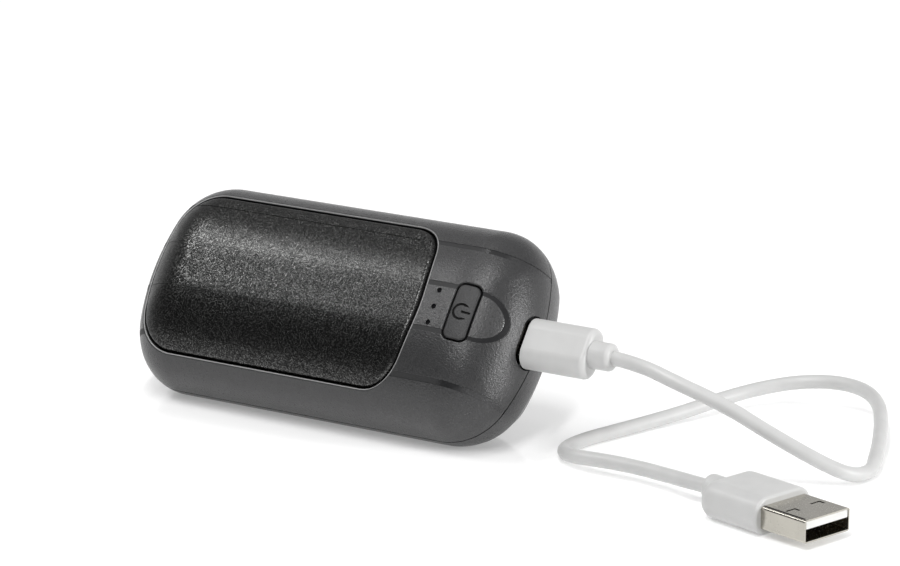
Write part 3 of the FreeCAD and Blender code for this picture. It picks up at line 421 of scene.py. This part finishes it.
def symbol_share(tree, x, y):
    """1 in the lines of the power symbol, which are painted in shade: a ring that is open towards the port,
    and a bar in the opening.
    """
    along = less(tree, x, BUTTON_X)
    ring = within(tree, less(tree, distance(tree, along, y), SYMBOL_RADIUS), SYMBOL_LINE_HALF)
    ahead = math_node(tree, "GREATER_THAN", along, 0.0)
    opening = times(tree, within(tree, y, SYMBOL_GAP_HALF), ahead)
    open_ring = times(tree, ring, less(tree, 1.0, opening))
    off_bar = less(tree, along, SYMBOL_BAR / 2)
    bar = times(tree, within(tree, off_bar, SYMBOL_BAR / 2), within(tree, y, SYMBOL_LINE_HALF))
    return largest(tree, open_ring, bar)


# Charcoal plastic of the casing and its button
CASING_DARK = (0.025, 0.025, 0.026)
CASING_LIGHT = (0.048, 0.048, 0.049)
# Painted sheen: the paler speckle inside the arch, where the plastic catches the light.
CASING_PAINTED_SHEEN = (0.072, 0.072, 0.073)
CASING_POLISHED = (0.019, 0.019, 0.020)
# Painted highlight: the pale band along the rim of the panel's window.
CASING_PAINTED_HIGHLIGHT = (0.30, 0.30, 0.30)
# Painted shade, near black, for the seam, the window's wall and the power symbol.
CASING_PAINTED_SHADE = (0.004, 0.004, 0.004)
CASING_GLOSS = (0.33, 0.26)
CASING_GRAIN = 0.38 * MM
CASING_GRAIN_DETAIL = 3.0
CASING_GRAIN_ROUGH = 0.6
CASING_BUMP = 0.7
CASING_BUMP_DEPTH = 0.05 * MM
CHANNEL_TURN = (32.5 * MM, 35.0 * MM)
CHANNEL_DULL = 0.35
CHANNEL_POLISH = -0.2
BUTTON_LIGHT = (0.027, 0.027, 0.028)
BUTTON_GLOSS = (0.56, 0.48)


def casing_material(name, symbol=False):
    """Charcoal plastic with a fine spark-eroded grain, polished in the channels, with a painted sheen inside
    the arch, a painted highlight on the window's rim, and painted shade in its lines: the seam and the
    window's wall, or the power symbol on the button.
    """
    material, tree, shader = new_material(name)
    x, y, z = own_place(tree, STAND, CASING_TURN)
    fine = noise(tree, object_place(tree), CASING_GRAIN, CASING_GRAIN_DETAIL, CASING_GRAIN_ROUGH)
    colour = two_colours(tree, fine, CASING_DARK, BUTTON_LIGHT if symbol else CASING_LIGHT)
    gloss = spread(tree, fine, *(BUTTON_GLOSS if symbol else CASING_GLOSS))
    height = fine
    if symbol:
        # The power symbol's engraved lines are painted in shade.
        line = symbol_share(tree, x, y)
    else:
        polished, inside = polished_share(tree, x, y, z)
        rim, wall = painted_highlight_and_shade_share(tree, x, y, z)
        # Painted shade along the parting seam and on the window's wall.
        line = largest(tree, within(tree, z, SEAM_HALF), wall)
        # Painted sheen: paler speckle inside the arch.
        painted_sheen = two_colours(tree, times(tree, inside, fine), colour, CASING_PAINTED_SHEEN)
        marked = two_colours(tree, polished, painted_sheen, CASING_POLISHED)
        # Painted highlight along the rim of the panel's window.
        colour = two_colours(tree, rim, marked, CASING_PAINTED_HIGHLIGHT)
        shine = spread(tree, x, CHANNEL_DULL, CHANNEL_POLISH, *CHANNEL_TURN)
        gloss = math_node(tree, "ADD", gloss, times(tree, polished, shine))
        height = times(tree, fine, less(tree, 1.0, polished))
    # Painted shade: near black and fully rough in the lines.
    tree.links.new(two_colours(tree, line, colour, CASING_PAINTED_SHADE), shader.inputs["Base Color"])
    tree.links.new(largest(tree, gloss, line), shader.inputs["Roughness"])
    tree.links.new(bump(tree, height, CASING_BUMP, CASING_BUMP_DEPTH), shader.inputs["Normal"])
    return material


# Dark metal of the panel
PANEL_DARK = (0.013, 0.013, 0.013)
PANEL_LIGHT = (0.17, 0.17, 0.167)
PANEL_CELL = 0.15 * MM
PANEL_SPARKLE = 3.0
PANEL_GLOSS = (0.34, 0.26)
PANEL_TILT = 0.16
PANEL_METAL = 0.9


def panel_material():
    """Dark anodised metal, blasted to a sparkling grain."""
    material, tree, shader = new_material("panel_metal")
    cells = grains(tree, object_place(tree), PANEL_CELL)
    cell = first_part(tree, cells)
    bright = math_node(tree, "POWER", cell, PANEL_SPARKLE)
    tree.links.new(two_colours(tree, bright, PANEL_DARK, PANEL_LIGHT), shader.inputs["Base Color"])
    tree.links.new(spread(tree, cell, *PANEL_GLOSS), shader.inputs["Roughness"])
    tree.links.new(facets(tree, cells, PANEL_TILT), shader.inputs["Normal"])
    shader.inputs["Metallic"].default_value = PANEL_METAL
    return material


# What each piece is finished in
NICKEL = {"colour": (0.50, 0.48, 0.43), "roughness": 0.24, "metallic": 1.0, "depth": 0.004 * MM}
casing = casing_material("casing_plastic")
button = casing_material("button_plastic", symbol=True)
panel = panel_material()
white = plain_material("lead_white", colour=(0.59, 0.59, 0.585), roughness=0.38, depth=0.01 * MM)
nickel = plain_material("connector_nickel", **NICKEL)
# The plug's shell carries painted shade in the fold along its near top edge.
shell_painted_shade = plain_material("shell_nickel_painted_shade", **NICKEL, painted_shade_share=fold_painted_shade_share)
# The insulator is painted in shade behind the plug's mouth.
pale = plain_material("insulator_white_painted_shade", colour=(0.74, 0.74, 0.72), roughness=0.45, painted_shade_share=inside_painted_shade_share)
black = plain_material("black_plastic", colour=(0.018, 0.018, 0.02), roughness=0.4)
lens = plain_material("smoked_lens", colour=(0.003, 0.003, 0.004), roughness=0.7, specular=0.1)
gold = plain_material("contact_gold", colour=(0.83, 0.6, 0.22), roughness=0.25, metallic=1.0)
polyimide = plain_material("heater_polyimide", colour=(0.6, 0.33, 0.07), roughness=0.35)
foam = plain_material("pad_foam", colour=(0.28, 0.28, 0.29), roughness=0.85, depth=0.15 * MM)
pouch = plain_material("cell_pouch", colour=(0.6, 0.61, 0.63), roughness=0.35, metallic=0.9)
tray = plain_material("tray_plastic", colour=(0.15, 0.155, 0.16), roughness=0.5)
steel = plain_material("plain_steel", colour=(0.58, 0.57, 0.55), roughness=0.3, metallic=1.0)
laminate = plain_material("board_laminate", colour=(0.02, 0.14, 0.07), roughness=0.3)
ferrite = plain_material("inductor_ferrite", colour=(0.08, 0.08, 0.085), roughness=0.6)
ceramic = plain_material("capacitor_ceramic", colour=(0.52, 0.4, 0.24), roughness=0.5)
led = plain_material("led_white", colour=(0.84, 0.84, 0.76), roughness=0.3)

FINISHES = {
    casing: ("front_shell", "back_shell"),
    button: ("button_cap",),
    panel: ("heat_panel",),
    white: ("usb_c_overmould", "usb_a_overmould"),
    nickel: ("usb_c_socket", "usb_c_plug_shell"),
    shell_painted_shade: ("usb_a_shell",),
    pale: ("usb_a_insulator",),
    black: ("board_header", "controller_chip", "charger_chip", "switch_body", "switch_plunger",
            "usb_c_tongue"),
    lens: ("light_pipe",),
    gold: ("usb_a_contacts",),
    polyimide: ("heater_film",),
    foam: ("insulation_pad",),
    pouch: ("battery_cell",),
    tray: ("battery_tray",),
    steel: ("battery_tab_positive", "battery_tab_negative", "main_board_screws", "port_board_screws"),
    laminate: ("main_board", "port_board"),
    ferrite: ("power_inductor",),
    ceramic: ("board_capacitors",),
    led: ("indicator_led_1", "indicator_led_2", "indicator_led_3"),
}
for material, names in FINISHES.items():
    for name in names:
        slots = nodes[name].data.materials
        slots.clear()
        slots.append(material)
cord_curve.materials.append(white)

# Floor
FLOOR_HALF = 3.0
FLOOR_COLOUR = (0.93, 0.93, 0.93, 1.0)
FLOOR_ROUGHNESS = 0.12
FLOOR_GLOW = 0.27
FLOOR_CORNERS = ((-1, -1), (1, -1), (1, 1), (-1, 1))
WHITE_LIGHT = (1.0, 1.0, 1.0, 1.0)

floor_mesh = bpy.data.meshes.new("floor")
floor_mesh.from_pydata([(FLOOR_HALF * x, FLOOR_HALF * y, 0.0) for x, y in FLOOR_CORNERS], [], [(0, 1, 2, 3)])
floor = bpy.data.objects.new("floor", floor_mesh)
scene.collection.objects.link(floor)
floor_material, _, floor_shader = new_material("pale_floor")
floor_shader.inputs["Base Color"].default_value = FLOOR_COLOUR
floor_shader.inputs["Roughness"].default_value = FLOOR_ROUGHNESS
floor_shader.inputs["Emission Color"].default_value = WHITE_LIGHT
floor_shader.inputs["Emission Strength"].default_value = FLOOR_GLOW
floor_mesh.materials.append(floor_material)

# The room is dim low in front, pale behind and at the sides, and a little paler overhead.
ROOM_DIM = 0.08
ROOM_OVERHEAD = 0.36
ROOM_PALE = 0.85
OVERHEAD_RISE = (0.45, 0.85)
PALE_HEIGHT = (0.15, 0.6)
PALE_TURN = (-0.45, 0.05)

world = bpy.data.worlds.new("studio")
scene.world = world
world.use_nodes = True
room = world.node_tree
backdrop = room.nodes["Background"]
backdrop.inputs["Color"].default_value = WHITE_LIGHT
_, behind, above = axes(room, room.nodes.new("ShaderNodeTexCoord").outputs["Generated"])
overhead = spread(room, above, ROOM_DIM, ROOM_DIM + ROOM_OVERHEAD, *OVERHEAD_RISE)
low = spread(room, above, ROOM_PALE, 0.0, *PALE_HEIGHT)
around = spread(room, behind, 0.0, 1.0, *PALE_TURN)
room.links.new(math_node(room, "ADD", overhead, times(room, low, around)), backdrop.inputs["Strength"])
scene.view_settings.view_transform = "Standard"

# Softboxes: their places and sizes in metres, and their power in watts.
LIGHT_AIM = Vector((0.02, 0.0, 0.02))
SOFTBOXES = {
    "key_left": {"place": (-0.55, -0.25, 0.765), "size": (0.34, 0.19), "power": 2.0},
    "key_front": {"place": (0.17, -0.48, 0.86), "size": (0.09, 0.95), "power": 6.0},
    "key_right": {"place": (1.0, 0.13, 0.27), "size": (0.12, 0.5), "power": 5.2},
    "top_light": {"place": (-0.32, 0.29, 0.92), "size": (0.12, 0.12), "power": 0.35},
}


def softbox(name, place, size, power):
    data = bpy.data.lights.new(name, "AREA")
    data.shape = "RECTANGLE"
    data.size, data.size_y = size
    data.energy = power
    light = bpy.data.objects.new(name, data)
    light.location = place
    light.rotation_euler = (LIGHT_AIM - Vector(place)).to_track_quat("-Z", "Y").to_euler()
    scene.collection.objects.link(light)


for name, values in SOFTBOXES.items():
    softbox(name, **values)

bpy.context.view_layer.update()
